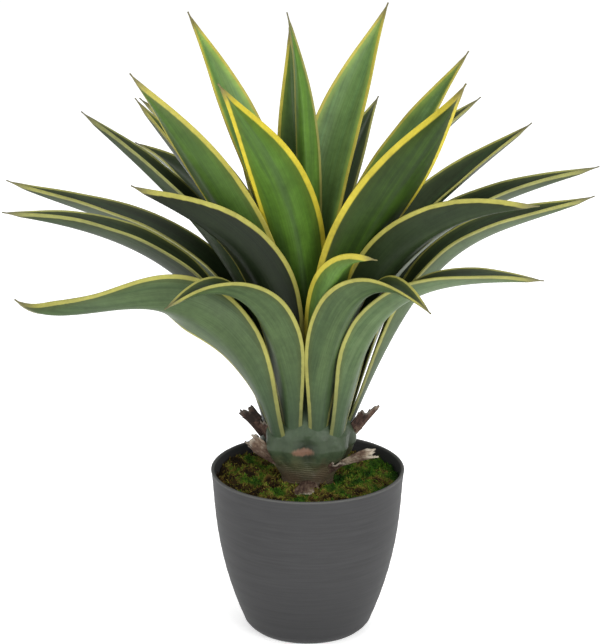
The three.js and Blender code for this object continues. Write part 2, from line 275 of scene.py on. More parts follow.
def eased(tree, value, painted_shade_low, high):
    """A value turned into a soft mask that is 0 at low and 1 at high."""
    limits = {"Value": value, "From Min": painted_shade_low, "From Max": high}
    return add_node(tree, "ShaderNodeMapRange", limits, interpolation_type="SMOOTHSTEP").outputs[0]


def object_place(tree):
    return add_node(tree, "ShaderNodeTexCoord").outputs["Object"]


def height_of(tree, spot):
    return add_node(tree, "ShaderNodeSeparateXYZ", {"Vector": spot}).outputs["Z"]


def squeezed(tree, spot, scales):
    """A place scaled on each axis, so that a noise read there is drawn out along the smallest."""
    return add_node(tree, "ShaderNodeMapping", {"Vector": spot, "Scale": scales}).outputs[0]


def add_bump(tree, shader, height, strength, distance):
    bump = add_node(tree, "ShaderNodeBump", {"Height": height, "Strength": strength, "Distance": distance})
    tree.links.new(bump.outputs[0], shader.inputs["Normal"])


def new_group(name, inputs, outputs):
    """An empty node group with named sockets, its tree, and its input and output nodes."""
    group = bpy.data.node_groups.new(name, "ShaderNodeTree")
    for direction, sockets in (("INPUT", inputs), ("OUTPUT", outputs)):
        for socket, kind in sockets.items():
            group.interface.new_socket(socket, in_out=direction, socket_type=f"NodeSocket{kind}")
    return group, add_node(group, "NodeGroupInput"), add_node(group, "NodeGroupOutput")


# Broad soft clouds and finer ones that darken and lighten a colour, as in anything grown or moulded.
MOTTLE_BROAD = 0.62  # the share of the broad clouds
MOTTLE_FINER = 5.5  # how much smaller the finer ones are
MOTTLE_DETAIL = 3.0
mottle, given, result = new_group(
    "mottle",
    {"Colour": "Color", "Place": "Vector", "Scale": "Float", "Amount": "Float"},
    {"Colour": "Color", "Grain": "Float"},
)
broad = noise_at(mottle, given.outputs["Place"], given.outputs["Scale"], MOTTLE_DETAIL)
finer = times(mottle, given.outputs["Scale"], MOTTLE_FINER)
fine = noise_at(mottle, given.outputs["Place"], finer, MOTTLE_DETAIL)
grain = plus(mottle, times(mottle, broad, MOTTLE_BROAD), times(mottle, fine, 1 - MOTTLE_BROAD))
level = plus(mottle, times(mottle, centred(mottle, grain), given.outputs["Amount"]), 1.0)
mottle.links.new(mixed(mottle, 1.0, given.outputs["Colour"], level, "MULTIPLY"), result.inputs["Colour"])
mottle.links.new(grain, result.inputs["Grain"])


def mottled(tree, colour, place, scale, amount):
    """The colour out of a mottle group, and its grain."""
    sockets = {"Colour": colour, "Place": place, "Scale": scale, "Amount": amount}
    node = add_node(tree, "ShaderNodeGroup", sockets, node_tree=mottle)
    return node.outputs["Colour"], node.outputs["Grain"]


pot_material, tree, shader = new_material("charcoal_pot", {"Roughness": 0.62, "Specular IOR Level": 0.35})
spot = object_place(tree)
lines = noise_at(tree, squeezed(tree, spot, (0.25, 0.25, 6.0)), 90.0, 3.0)
height = height_of(tree, spot)
# painted highlight: the fine lines are paler than the charcoal between them
grey = ramp(tree, lines, (0.3, CHARCOAL), (0.7, CHARCOAL_PAINTED_HIGHLIGHT))
grey, speck = mottled(tree, grey, spot, 60.0, 0.22)
# painted shade: the pot darkens towards its foot
painted_shade_low = eased(tree, height, POT_FOOT_PAINTED_SHADE_TO, 0.0)
grey = mixed(tree, times(tree, painted_shade_low, 0.5), grey, POT_FOOT_PAINTED_SHADE)
# paler along the top of the rim
near_rim = eased(tree, height, POT_HEIGHT - 2.6 * MM, POT_HEIGHT - 0.6 * MM)
grey = mixed(tree, times(tree, near_rim, 0.4), grey, PALE_RIM_EDGE)
tree.links.new(grey, shader.inputs["Base Color"])
relief = plus(tree, times(tree, lines, 0.7), times(tree, speck, 0.5))
add_bump(tree, shader, relief, 0.35, 0.25 * MM)

pot = add_piece("pot_body", *turned(pot_profile, POT_SIDES), pot_material)
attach(pot, "root")
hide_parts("pot")

# ---------------------------------------------------------------- soil
# Dark potting soil that fills the pot up to the moss and holds the foot of the stem. It is hidden
# but for the gaps of the moss, so it keeps its solid and gets a crumbly brown material.

SOIL_BROWN = paint(52, 38, 27)

soil_material, tree, shader = new_material("potting_soil", {"Roughness": 0.95, "Specular IOR Level": 0.15})
spot = object_place(tree)
brown, grain = mottled(tree, SOIL_BROWN, spot, 120.0, 1.6)
tree.links.new(brown, shader.inputs["Base Color"])
add_bump(tree, shader, grain, 0.9, 1.5 * MM)
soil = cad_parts["soil"]
soil.data.materials.clear()
soil.data.materials.append(soil_material)

# ---------------------------------------------------------------- moss
# Sheet moss in low cushions between the stem and the wall of the pot, green where it is fresh and
# yellow-brown where it has dried, with short sprigs standing out of it.

MOSS_TOP = 146 * MM  # the mean height of the moss
MOSS_BOTTOM = 136.3 * MM
MOSS_INNER = 22 * MM
MOSS_OUTER = 85 * MM
MOSS_BUMP = 3.5 * MM
MOSS_WAVES = (9, 8)  # how long its cushions are along x and y, in millimetres
MOSS_BENDS = (12, 14)  # how long the bends of its cushions are
MOSS_RINGS = 60
MOSS_SIDES = 300
MOSS_CLUMP = 8.0  # millimetres across
MOSS_TUFT = 5
TINT_PATCH = 19  # millimetres across
TINT_FLECK = 5
BURIED = 0.2  # the tint and the light of the hidden sides
SPRIGS = 15000
SPRIG_RADII = (26 * MM, 84.5 * MM)
SPRIG_LENGTH = (2.0 * MM, 5.6 * MM)
SPRIG_WIDTH = 0.9 * MM
SPRIG_LIGHT = (0.3, 0.3, 0.85, 0.85, 1.0)  # from its root to its tip
MOSS_COLOURS = [  # from dry and brown to fresh and green
    (0.0, paint(52, 38, 22)),
    (0.2, paint(104, 82, 40)),
    (0.36, paint(152, 138, 64)),
    (0.52, paint(116, 136, 44)),
    (0.74, paint(76, 122, 32)),
    (1.0, paint(44, 84, 26)),
]
MOSS_SHADE = paint(24, 22, 12)  # deep between the sprigs


def clamped(x):
    return max(0.0, min(1.0, x))


def moss_clump(x, y):
    """From 0, in a gap between clumps, to 1, on top of one."""
    near = noise.voronoi(Vector((x / MM / MOSS_CLUMP, y / MM / MOSS_CLUMP, 2.5)))[0]
    return clamped(1.25 * (near[1] - near[0]) + 0.15)


def moss_height(x, y):
    """The height of the moss: broad cushions with clumps and tufts on them."""
    u, v = x / MM, y / MM
    along = math.sin(u / MOSS_WAVES[0] + math.sin(v / MOSS_BENDS[1]))
    cushion = along * math.sin(v / MOSS_WAVES[1] - math.sin(u / MOSS_BENDS[0]))
    tuft = noise.fractal(Vector((u / MOSS_TUFT, v / MOSS_TUFT, 0.3)), 0.8, 2.1, 4)
    return MOSS_TOP + MOSS_BUMP * cushion + (1.2 * tuft + 2.4 * moss_clump(x, y) - 1.2) * MM


def moss_tint(x, y):
    """From 0, dry and brown, to 1, fresh and green, in patches that are fresher to the right."""
    u, v = x / MM, y / MM
    patch = 0.95 * noise.noise(Vector((u / TINT_PATCH, v / TINT_PATCH, 4.0)))
    fleck = 0.35 * noise.noise(Vector((u / TINT_FLECK, v / TINT_FLECK, 9.0)))
    return 0.5 + patch + 0.0034 * u + fleck


def read_mark(tree, name):
    """The number that each point of a piece holds under a name."""
    return add_node(tree, "ShaderNodeAttribute", attribute_name=name).outputs["Fac"]


moss_material, tree, shader = new_material("sheet_moss", {"Roughness": 0.95, "Specular IOR Level": 0.1})
green = ramp(tree, read_mark(tree, "tint"), *MOSS_COLOURS)
green, grain = mottled(tree, green, object_place(tree), 150.0, 1.5)
# painted shade: the lit mark darkens the moss in the gaps between its clumps, at the roots of the sprigs
# and on its hidden sides
green = mixed(tree, read_mark(tree, "lit"), MOSS_SHADE, green)
tree.links.new(green, shader.inputs["Base Color"])
add_bump(tree, shader, grain, 1.0, 1.2 * MM)


def set_attribute(piece, name, values):
    """Stores one number for each vertex of a piece."""
    layer = piece.data.attributes.new(name, "FLOAT", "POINT")
    layer.data.foreach_set("value", np.asarray(values, dtype=np.float32))


def moss_bed():
    """The moss as one closed ring with a lumpy top."""
    points, tints, lights = [], [], []
    for radius in np.linspace(MOSS_INNER, MOSS_OUTER, MOSS_RINGS):
        for k in range(MOSS_SIDES):
            a = math.tau * k / MOSS_SIDES
            x, y = radius * math.cos(a), radius * math.sin(a)
            points.append((x, y, moss_height(x, y)))
            tints.append(moss_tint(x, y) - 0.15)
            lights.append(0.15 + 0.6 * moss_clump(x, y))
    for radius in (MOSS_OUTER, MOSS_INNER):
        for k in range(MOSS_SIDES):
            a = math.tau * k / MOSS_SIDES
            points.append((radius * math.cos(a), radius * math.sin(a), MOSS_BOTTOM))
            tints.append(BURIED)
            lights.append(BURIED)
    faces = []
    rings = len(points) // MOSS_SIDES
    for j in range(rings):
        here, after = j * MOSS_SIDES, (j + 1) % rings * MOSS_SIDES
        for k in range(MOSS_SIDES):
            m = (k + 1) % MOSS_SIDES
            faces.append((here + k, after + k, after + m, here + m))
    return points, faces, tints, lights


def moss_sprigs():
    """Short curved blades that stand out of the moss at random slants, thickest on its clumps."""
    rng = random.Random(7)
    inner, outer = SPRIG_RADII
    points, faces, tints, lights = [], [], [], []
    for _ in range(SPRIGS):
        radius = math.sqrt(rng.uniform(inner**2, outer**2))
        a = rng.uniform(0, math.tau)
        x, y = radius * math.cos(a), radius * math.sin(a)
        clump = moss_clump(x, y)
        lean = Vector((rng.gauss(0, 0.8), rng.gauss(0, 0.8), 1.0)).normalized()
        across = Vector((rng.gauss(0, 1), rng.gauss(0, 1), 0.2))
        droop = Vector((rng.gauss(0, 0.3), rng.gauss(0, 0.3), -0.2))
        length = rng.uniform(*SPRIG_LENGTH) * (0.5 + 0.6 * clump)
        tint = moss_tint(x, y) + rng.gauss(0.06, 0.16)
        if rng.random() > 0.25 + clump:
            continue
        base = Vector((x, y, moss_height(x, y) - 0.6 * MM))
        side = lean.cross(across).normalized() * SPRIG_WIDTH / 2
        middle = base + lean * length * 0.55
        tip = base + lean * length + droop * length * 0.5
        n = len(points)
        points += [base - side, base + side, middle + side * 0.8, middle - side * 0.8, tip]
        faces += [(n, n + 1, n + 2, n + 3), (n + 3, n + 2, n + 4)]
        tints += [tint] * 5
        lights += SPRIG_LIGHT
    return points, faces, tints, lights


moss_meshes = {"moss_bed": moss_bed(), "moss_sprigs": moss_sprigs()}
for name, (points, faces, tints, lights) in moss_meshes.items():
    piece = add_piece(name, points, faces, moss_material)
    set_attribute(piece, "tint", tints)
    set_attribute(piece, "lit", lights)
    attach(piece, "root")
    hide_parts("moss")

# ---------------------------------------------------------------- stem
# The short stem flares into the swollen green bases of the lowest leaves, and closes in a cone
# between the inner ones. Below the bases it is brown and finely ringed, with one reddish scar.

STEM_RADIUS = 24
STEM_BOTTOM = 96  # how deep the stem goes in the soil
PEG_TOP = 130  # up to here it is a plain peg in the soil
STEM_SHAPED_FROM = 138  # from here up it has rings, bases and lumps
STEM_SIDES = 264
STEM_STEP = 0.5  # between the rings of points
CROWN = [  # radius and height
    (24, 150),
    (32, 163),
    (39, 174),
    (43, 186),
    (44, 198),
    (42, 206),
    (37, 215),
    (30.5, 224),
    (24, 234),
    (17, 244),
    (9, 255),
    (1, 262),
]
BASE_COUNT = 11  # swollen leaf bases around the crown
BASE_AZIMUTH = math.radians(253)  # the middle of one of them
BASE_SWELL = 1.2
BASE_HEIGHT = 184  # where they stand out most
BASE_SPREAD = 18  # how far above and below that they fade out
# The biggest bases: azimuth, height, how far they stand out, and how wide and high they are.
BULGES = [
    (229, 186, 5.0, 15, 13),
    (308, 186, 5.0, 15, 13),
    (268, 192, -4.0, 15, 13),
    (345, 188, 2.0, 13, 12),
]
CREASE_DEPTH = 1.2  # between two bases, as a share of their swell
CREASE_SHARPNESS = 10
RING_STEP = 2.3  # between two rings of the stem
RING_DEPTH = 0.55
RINGED_FROM = 140  # the heights where the rings start and end, and how far they fade in and out
RINGED_TO = 178
RING_FADES = (6, 14)
LUMPS = (0.9, 3, 14)  # how deep, how many around and how long up the stem
ROUGHNESS = (0.45, 9, 5)
HOLLOW_FROM = 1.0  # how far a base stands out where the painted shade of the hollow beside it begins
HOLLOW_DEPTH = 5.0
SCAR_PLACE = (-0.005, -0.041, 0.186)  # in metres, as its material reads it
SCAR_SQUEEZE = (84.0, 26.0, 230.0)  # one over its half sizes in metres
STEM_COLOURS = [  # from its brown foot to the green bases
    (0.0, paint(58, 50, 36)),
    (0.3, paint(78, 72, 52)),
    (0.47, paint(76, 78, 54)),
    (0.62, paint(54, 66, 46)),
    (1.0, paint(57, 72, 51)),
]
STEM_FIBRE = paint(50, 58, 40)
HOLLOW_SHADE = paint(26, 32, 22)
DRIED_BROWN = paint(84, 66, 50)
SCAR_PINK = paint(128, 96, 78)


def stem_noise(azimuth, height, depth, around, length):
    """Bumps of a depth on the stem, about so many around it and so long up it."""
    x, y = around * math.cos(azimuth), around * math.sin(azimuth)
    return depth * noise.noise(Vector((x, y, height / length)))


def stem_shape(height, azimuth):
    """The stem's radius at a height, and how deep in a hollow between two bases it is."""
    radii, heights = zip(*CROWN)
    smooth_radius = float(np.interp(height, heights, radii))
    fade = max(0.0, 1 - ((height - BASE_HEIGHT) / BASE_SPREAD) ** 2)
    wave = math.cos(BASE_COUNT * (azimuth - BASE_AZIMUTH))
    crease = abs(math.sin(BASE_COUNT * (azimuth - BASE_AZIMUTH) / 2)) ** CREASE_SHARPNESS
    swell = BASE_SWELL * fade * (wave - CREASE_DEPTH * crease)
    for middle, level, out, wide, high in BULGES:
        turn = (math.degrees(azimuth) - middle + 180) % 360 - 180
        swell += out * math.exp(-((turn / wide) ** 2) - ((height - level) / high) ** 2)
    fade_in, fade_out = RING_FADES
    ringed = clamped((RINGED_TO - height) / fade_out) * clamped((height - RINGED_FROM) / fade_in)
    slant = height + 1.6 * math.sin(azimuth * 2 + 0.6) + 0.9 * math.sin(azimuth * 5)
    rings = RING_DEPTH * ringed * math.sin(math.tau * slant / RING_STEP)
    lumps = fade * stem_noise(azimuth, height, *LUMPS)
    rough = stem_noise(azimuth, height, *ROUGHNESS)
    hollow = fade * clamped((HOLLOW_FROM - swell) / HOLLOW_DEPTH)
    return smooth_radius + swell + rings + lumps + rough, hollow


stem_top = CROWN[-1][1]
shaped = np.arange(STEM_SHAPED_FROM, stem_top + STEM_STEP / 2, STEM_STEP)
heights = [STEM_BOTTOM, PEG_TOP, *shaped]
stem_points, hollows = [], []
for height in heights:
    for k in range(STEM_SIDES):
        a = math.tau * k / STEM_SIDES
        radius, hollow = stem_shape(height, a) if height > PEG_TOP else (STEM_RADIUS, 0.0)
        stem_points.append((radius * math.cos(a) * MM, radius * math.sin(a) * MM, height * MM))
        hollows.append(hollow)

stem_material, tree, shader = new_material("green_stem", {"Roughness": 0.45, "Specular IOR Level": 0.3})
spot = object_place(tree)
cloud = noise_at(tree, spot, 45.0, 5.0)
fibres = noise_at(tree, squeezed(tree, spot, (1.0, 1.0, 0.16)), 420.0, 4.0)
wander = times(tree, centred(tree, cloud), 46 * MM)
limits = {"Value": plus(tree, height_of(tree, spot), wander), "From Min": 140 * MM, "From Max": 205 * MM}
level = add_node(tree, "ShaderNodeMapRange", limits).outputs[0]
skin = ramp(tree, level, *STEM_COLOURS)
skin = mixed(tree, times(tree, fibres, 0.3), skin, STEM_FIBRE)
# painted shade in the hollows between the leaf bases
skin = mixed(tree, times(tree, read_mark(tree, "hollow"), 0.75), skin, HOLLOW_SHADE)
dried = eased(tree, plus(tree, cloud, times(tree, level, -0.42)), 0.3, 0.46)
skin = mixed(tree, times(tree, dried, 0.6), skin, DRIED_BROWN)
offset = add_node(tree, "ShaderNodeVectorMath", {0: spot, 1: SCAR_PLACE}, operation="SUBTRACT").outputs[0]
offset = squeezed(tree, offset, SCAR_SQUEEZE)
from_scar = add_node(tree, "ShaderNodeVectorMath", {0: offset}, operation="LENGTH").outputs["Value"]
ragged = plus(tree, from_scar, times(tree, centred(tree, fibres), 0.9))
scar = eased(tree, ragged, 1.15, 0.5)
skin = mixed(tree, times(tree, scar, 0.8), skin, SCAR_PINK)
skin, grain = mottled(tree, skin, spot, 70.0, 0.9)
tree.links.new(skin, shader.inputs["Base Color"])
add_bump(tree, shader, plus(tree, fibres, grain), 0.5, 0.5 * MM)

stem = add_piece("stem", stem_points, ring_faces(len(heights), STEM_SIDES), stem_material)
set_attribute(stem, "hollow", hollows)
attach(stem, "root")
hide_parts("trunk")

# ---------------------------------------------------------------- dried stubs
# What is left of the leaves that were cut off the lower stem: thin papery blades, brown and
# wrinkled lengthwise, with a ragged pale edge where they were cut.

# Azimuth and height where each leaves the stem, the azimuth and slope that it points to, the azimuth
# that its back is turned to, its length and width, how far its cut slants, and how pale it has dried.
STUBS = [
    (196, 184, 190, 52, 238, 34, 24, 0.3, 0.1),
    (206, 178, 198, 64, 222, 28, 20, -0.3, 0.3),
    (214, 158, 197, 40, 250, 42, 26, 0.4, 0.55),
    (236, 152, 170, 54, 236, 42, 15, 0.0, 0.3),
    (271, 154, 271, -20, 91, 14, 32, 0.0, 0.6),
    (303, 152, 330, 34, 300, 26, 24, 0.2, 0.4),
    (322, 160, 338, 24, 296, 44, 28, -0.45, 0.75),
    (345, 184, 350, 54, 304, 36, 22, 0.3, 0.25),
    (35, 164, 35, 40, 35, 38, 28, 0.3, 0.4),
    (85, 170, 85, 50, 85, 40, 26, -0.3, 0.3),
    (145, 162, 145, 38, 145, 40, 28, 0.2, 0.5),
]
STUB_SINK = 6  # how deep a stub starts inside the stem
STUB_ROOT_WIDTH = 14
STUB_THICKNESS = 1.4
STUB_CHANNEL = math.radians(22)
STUB_STEPS = 26
STUB_ACROSS = 30
STUB_TEAR = 0.2  # how ragged the cut is, as a share of the length
STUB_SLANT = 0.3
STUB_CURL = 5.0
STUB_WRINKLE = 0.5
STUB_WRINKLES = 23  # radians of wrinkles across half a stub
KEEL = 0.3  # the share of a blade's half width that is round along its middle
HUSK_COLOURS = [  # from dark to pale
    (0.3, paint(36, 28, 24)),
    (0.44, paint(72, 54, 46)),
    (0.56, paint(104, 86, 72)),
    (0.7, paint(148, 134, 116)),
]
HUSK_EDGE = paint(186, 178, 162)  # where it was cut


def heading(azimuth, slope):
    """A unit vector by its azimuth and its slope above the horizontal, in degrees."""
    a, e = math.radians(azimuth), math.radians(slope)
    return np.array([math.cos(e) * math.cos(a), math.cos(e) * math.sin(a), math.sin(e)])


def polar(azimuth, radius, height):
    return heading(azimuth, 0) * radius + np.array([0, 0, height])


def across_from(along, azimuth):
    """The unit vector square to a blade's length, for a back that is turned to an azimuth."""
    side = heading(azimuth + 90, 0)
    side = side - along * side.dot(along)
    return side / np.linalg.norm(side)


def trough(v):
    """How high a channel is, from 0 along its middle to 1 at its edges."""
    return (math.hypot(v, KEEL) - KEEL) / (math.hypot(1, KEEL) - KEEL)


def smooth(x):
    x = np.clip(x, 0, 1)
    return x * x * (3 - 2 * x)


def mix(a, b, share):
    return a + (b - a) * share


def stub_mesh(number, azimuth, height, to, rise, face, length, width, slant):
    """A wrinkled, torn blade, its points, faces, and the share of its length at each."""
    radii, heights = zip(*CROWN)
    start = polar(azimuth, float(np.interp(height, heights, radii)) - STUB_SINK, height)
    along = heading(to, rise)
    side = across_from(along, face)
    up = np.cross(along, side)
    shift = 7.3 * number  # so that no two stubs are torn alike
    points, shares = [], []
    for j in range(STUB_STEPS + 1):
        s = j / STUB_STEPS
        half = mix(STUB_ROOT_WIDTH, width, smooth(s)) / 2
        for i in range(STUB_ACROSS + 1):
            v = -1 + 2 * i / STUB_ACROSS
            ragged = noise.noise(Vector((v * 3.2, shift, 0))) + 0.6 * noise.noise(Vector((v * 9, shift, 4)))
            torn = 1 + s**3 * (STUB_TEAR * ragged + STUB_SLANT * slant * v - 0.1 * v * v)
            fold = half * math.sin(STUB_CHANNEL) * trough(v)
            curl = STUB_CURL * s * s * noise.noise(Vector((v * 1.6, s * 1.4, shift)))
            wrinkle = STUB_WRINKLE * math.sin(v * STUB_WRINKLES + shift) * smooth(s * 3)
            centre = start + along * (length + STUB_SINK) * s * torn
            wide = v * (0.93 + 0.12 * noise.noise(Vector((s * 3, shift, v))))
            points.append(centre + side * half * wide + up * (fold + curl + wrinkle))
            shares.append(s)
    n = STUB_ACROSS + 1
    faces = []
    for j in range(STUB_STEPS):
        for i in range(STUB_ACROSS):
            faces.append((j * n + i, (j + 1) * n + i, (j + 1) * n + i + 1, j * n + i + 1))
    return np.array(points) * MM, faces, shares


stub_material, tree, shader = new_material("dried_stub", {"Roughness": 0.85, "Specular IOR Level": 0.2})
spot = object_place(tree)
pale = read_mark(tree, "pale")
cloud = noise_at(tree, spot, 70.0, 5.0)
streak = noise_at(tree, spot, 330.0, 5.0)
tone = plus(tree, times(tree, cloud, 0.6), times(tree, streak, 0.4))
tone = plus(tree, tone, times(tree, centred(tree, pale), 0.34))
husk = ramp(tree, tone, *HUSK_COLOURS)
at_cut = eased(tree, read_mark(tree, "share"), 0.9, 1.0)
husk = mixed(tree, times(tree, at_cut, times(tree, pale, 0.9)), husk, HUSK_EDGE)
husk, grain = mottled(tree, husk, spot, 160.0, 0.8)
tree.links.new(husk, shader.inputs["Base Color"])
add_bump(tree, shader, plus(tree, streak, grain), 0.7, 0.6 * MM)

for number, (*row, pale) in enumerate(STUBS, 1):
    points, faces, shares = stub_mesh(number, *row)
    piece = add_piece(f"stub_{number}", points, faces, stub_material)
    set_attribute(piece, "share", shares)
    set_attribute(piece, "pale", [pale] * len(shares))
    shell = piece.modifiers.new("thickness", "SOLIDIFY")
    shell.thickness = STUB_THICKNESS * MM
    shell.offset = 0.0
    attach(piece, "root")
    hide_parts("trunk")

# ---------------------------------------------------------------- leaves
# Long, thick, channelled blades that end in a fine spine. Each has a yellow band along both edges.
# The outer leaves have a grey bloom on their backs, and the inner ones are a fresh green.

TIERS = [  # radius and height of the roots, and the depth of the channel in degrees
    (42, 196, 28),
    (37.5, 198, 36),
    (31.5, 207, 36),
    (25.5, 216, 34),
    (19.5, 226, 28),
    (13.5, 236, 26),
    (7, 245, 26),
    (3, 252, 50),
]
# Each leaf: the tier and azimuth of its root; the azimuth, reach from the axis and height of its
# tip; its slope at the root and how far it keeps it; the same at the tip; the azimuth that the tip
# points to; the azimuth that its back is turned to towards the tip; its greatest width; and how
# far it rolls about its own length from its middle on.
# tier, from, to, reach, height, rise, lift, fall, trail, aim, face, width, roll
LEAVES = [
    # the lowest and widest leaves
    (1, 285, 309, 168, 347, 81, 122, -38, 80, 335, 294, 53, 0),
    (0, 310, 337, 224, 364, 76, 141, 2, 130, 346, 332, 54, 0),
    (1, 351, 357, 257, 421, 69, 221, 22, 112, 2, 338, 52, 12),
    (1, 19, 37, 228, 356, 72, 124, -8, 110, 40, 36, 42, 0),
    (1, 50, 54, 225, 346, 70, 110, -20, 100, 46, 46, 52, 0),
    (1, 82, 87, 215, 333, 70, 110, -25, 100, 80, 80, 52, 0),
    (1, 115, 119, 225, 352, 70, 110, -18, 100, 114, 114, 52, 0),
    (1, 152, 151, 178, 290, 68, 104, -45, 80, 148, 148, 54, 0),
    (0, 229, 190, 266, 334, 71, 244, 42, 78, 182, 240, 64, 44),
    (1, 248, 222, 167, 345, 84, 118, -32, 80, 190, 232, 52, 0),
    (1, 187, 188, 274, 412, 75, 150, 10, 130, 186, 183, 56, 0),
    # the second tier
    (2, 160, 162, 297, 408, 81, 172, 20, 120, 166, 170, 50, 0),
    (2, 241, 202, 167, 443, 83, 165, 28, 110, 180, 236, 60, 12),
    (2, 28, 10, 271, 433, 75, 172, 16, 130, 8, 10, 50, 0),
    (2, 63, 62, 265, 420, 76, 140, 10, 120, 60, 60, 50, 0),
    (2, 94, 96, 262, 418, 82, 140, 10, 120, 96, 96, 50, 0),
    (2, 128, 130, 262, 418, 76, 140, 10, 120, 130, 130, 50, 0),
    # the third tier
    (3, 192, 167, 212, 484, 82, 140, 40, 110, 165, 175, 54, 0),
    (3, 291, 295, 140, 394, 80, 90, 0, 62, 325, 298, 40, -24),
    (3, 332, 334, 222, 434, 77, 122, 5, 120, 350, 316, 61, -30),
    (3, 11, 15, 212, 472, 85, 145, 38, 110, 14, 35, 52, 0),
    (3, 58, 36, 200, 482, 86, 170, 32, 90, 32, 40, 48, 0),
    (3, 100, 72, 222, 462, 78, 130, 24, 110, 72, 78, 42, 0),
    (3, 137, 138, 215, 475, 82, 130, 30, 110, 140, 140, 52, 0),
    # the fourth tier
    (4, 300, 325, 164, 541, 86, 140, 60, 120, 345, 262, 60, 0),
    (4, 231, 191, 159, 536, 81, 125, 54, 120, 185, 250, 52, 0),
    (4, 171, 158, 171, 493, 84, 130, 50, 100, 155, 165, 48, 0),
    (4, 113, 120, 150, 481, 84, 120, 50, 100, 120, 120, 44, 0),
    # the fifth tier
    (5, 272, 219, 100, 534, 89, 170, 56, 110, 190, 285, 56, 0),
    (5, 163, 150, 126, 573, 88, 140, 62, 120, 150, 130, 54, 0),
    (5, 20, 38, 190, 526, 86, 140, 50, 120, 36, 50, 48, 0),
    (5, 92, 100, 100, 552, 81, 150, 78, 120, 100, 100, 44, 0),
    # the middle
    (6, 60, 50, 114, 577, 91, 190, 58, 120, 46, 75, 52, 0),
    (7, 240, 190, 19, 585, 89, 200, 76, 90, 190, 265, 33, 0),
]
LEAF_ROOT_WIDTH = 17
LEAF_WIDEST_AT = 0.52  # the share of its length
LEAF_TAPER = 2.2  # how late it narrows towards its tip
LEAF_POINT = 1.35  # how drawn out its tip is
LEAF_ROLLED_FROM = 0.55  # the share of its length
LEAF_ROOT_THICKNESS = 4.6
LEAF_MIDDLE_THICKNESS = 3.6
LEAF_THIN_FROM = 0.5  # the share of its length
LEAF_EDGE_THICKNESS = 1.8
LEAF_ROOT_CHANNEL = 12  # in degrees, deepening to its tier's channel
LEAF_CHANNEL_FROM = 0.45  # the share of its length
LEAF_TIP_FOLD = 12  # in degrees, added towards its tip
LEAF_TIP_FOLD_FROM = 0.7  # the share of its length
SPINE_WIDTH = 0.9
EDGE_WAVE = 0.9  # how far the edges wave up and down
OUTER_EDGE_WAVE = 1.5
OUTER_TIERS = 2  # the lowest ones, whose leaves wave more
EDGE_WAVE_LENGTH = 38
LEAF_CURVE_STEPS = 400
LEAF_RINGS = 84
LEAF_ACROSS = 22
LEAF_EDGE_STEPS = 3  # round each edge

# How each leaf is coloured: how green it is, how bright its edge is, the width of the yellow band on
# its left and on its right, seen from its back, and the painted light and shade on its back and its
# front, a number that multiplies their colours: 1 keeps the plain colours below, less than 1 paints
# the shade of the leaves around it, and more paints light.
PLAIN_COLOURS_AND_PAINTED_LIGHT = (0.15, 0.2, 1.9, 1.9, 0.9, 0.95)
LEAF_COLOURS_AND_PAINTED_LIGHT = {
    1: (0.2, 0.3, 2.0, 1.9, 0.9, 0.9),
    2: (0.1, 0.2, 1.9, 1.9, 1.3, 0.8),
    3: (0.1, 0.2, 2.0, 1.8, 1.0, 1.0),
    9: (0.15, 0.3, 1.8, 2.3, 0.9, 1.0),
    10: (0.2, 0.25, 1.9, 1.9, 0.82, 0.9),
    11: (0.05, 0.15, 1.8, 1.8, 0.62, 0.8),
    12: (0.05, 0.2, 1.8, 1.8, 0.65, 0.85),
    13: (0.3, 0.35, 2.2, 2.4, 0.14, 0.9),
    14: (0.05, 0.15, 2.0, 2.0, 0.75, 0.9),
    18: (0.05, 0.1, 1.8, 1.8, 0.66, 0.95),
    19: (0.8, 0.75, 2.8, 2.0, 1.1, 1.0),
    20: (0.2, 0.35, 2.2, 2.0, 0.34, 0.9),
    21: (0.1, 0.25, 2.2, 1.8, 0.7, 1.1),
    25: (1.0, 0.9, 4.0, 2.4, 0.38, 1.0),
    26: (0.9, 0.55, 2.4, 2.6, 0.8, 1.0),
    27: (0.3, 0.35, 2.0, 2.0, 0.8, 1.6),
    29: (1.0, 1.0, 2.6, 4.2, 0.95, 1.0),
    30: (0.55, 0.6, 2.4, 2.4, 1.4, 4.0),
    31: (0.5, 0.5, 2.4, 2.4, 1.0, 2.6),
    32: (0.7, 0.6, 2.4, 2.4, 1.15, 1.4),
    33: (0.4, 0.6, 2.6, 2.4, 1.3, 3.6),
    34: (1.0, 0.2, 1.0, 1.0, 1.2, 1.2),
}
LEAF_BACK = (paint(71, 86, 59), paint(77, 110, 38))  # under a grey bloom, and fresh green
# the front is darker than the back: partly its own green without the bloom, partly painted shade
LEAF_FRONT = (paint(40, 49, 31), paint(54, 76, 30))
LEAF_PATCH = paint(50, 70, 40)  # where the bloom has worn off
LEAF_BORDER = (paint(66, 74, 40), paint(84, 104, 30))  # beside the yellow band
LEAF_BAND = (paint(124, 130, 80), paint(196, 180, 54))  # dull and bright
LEAF_BASE_PAINTED_SHADE = paint(42, 57, 44)
LEAF_SPINE = paint(92, 88, 68)
LEAF_BASE_PAINTED_SHADE_TO = 0.36  # the share of the length where the painted shade at the foot has faded out
LEAF_SPINE_FROM = 0.915
# What fine streaks along the leaf multiply its colour by.
STREAKS = ((0.3, (0.84, 0.85, 0.82, 1.0)), (0.7, (1.12, 1.12, 1.1, 1.0)))


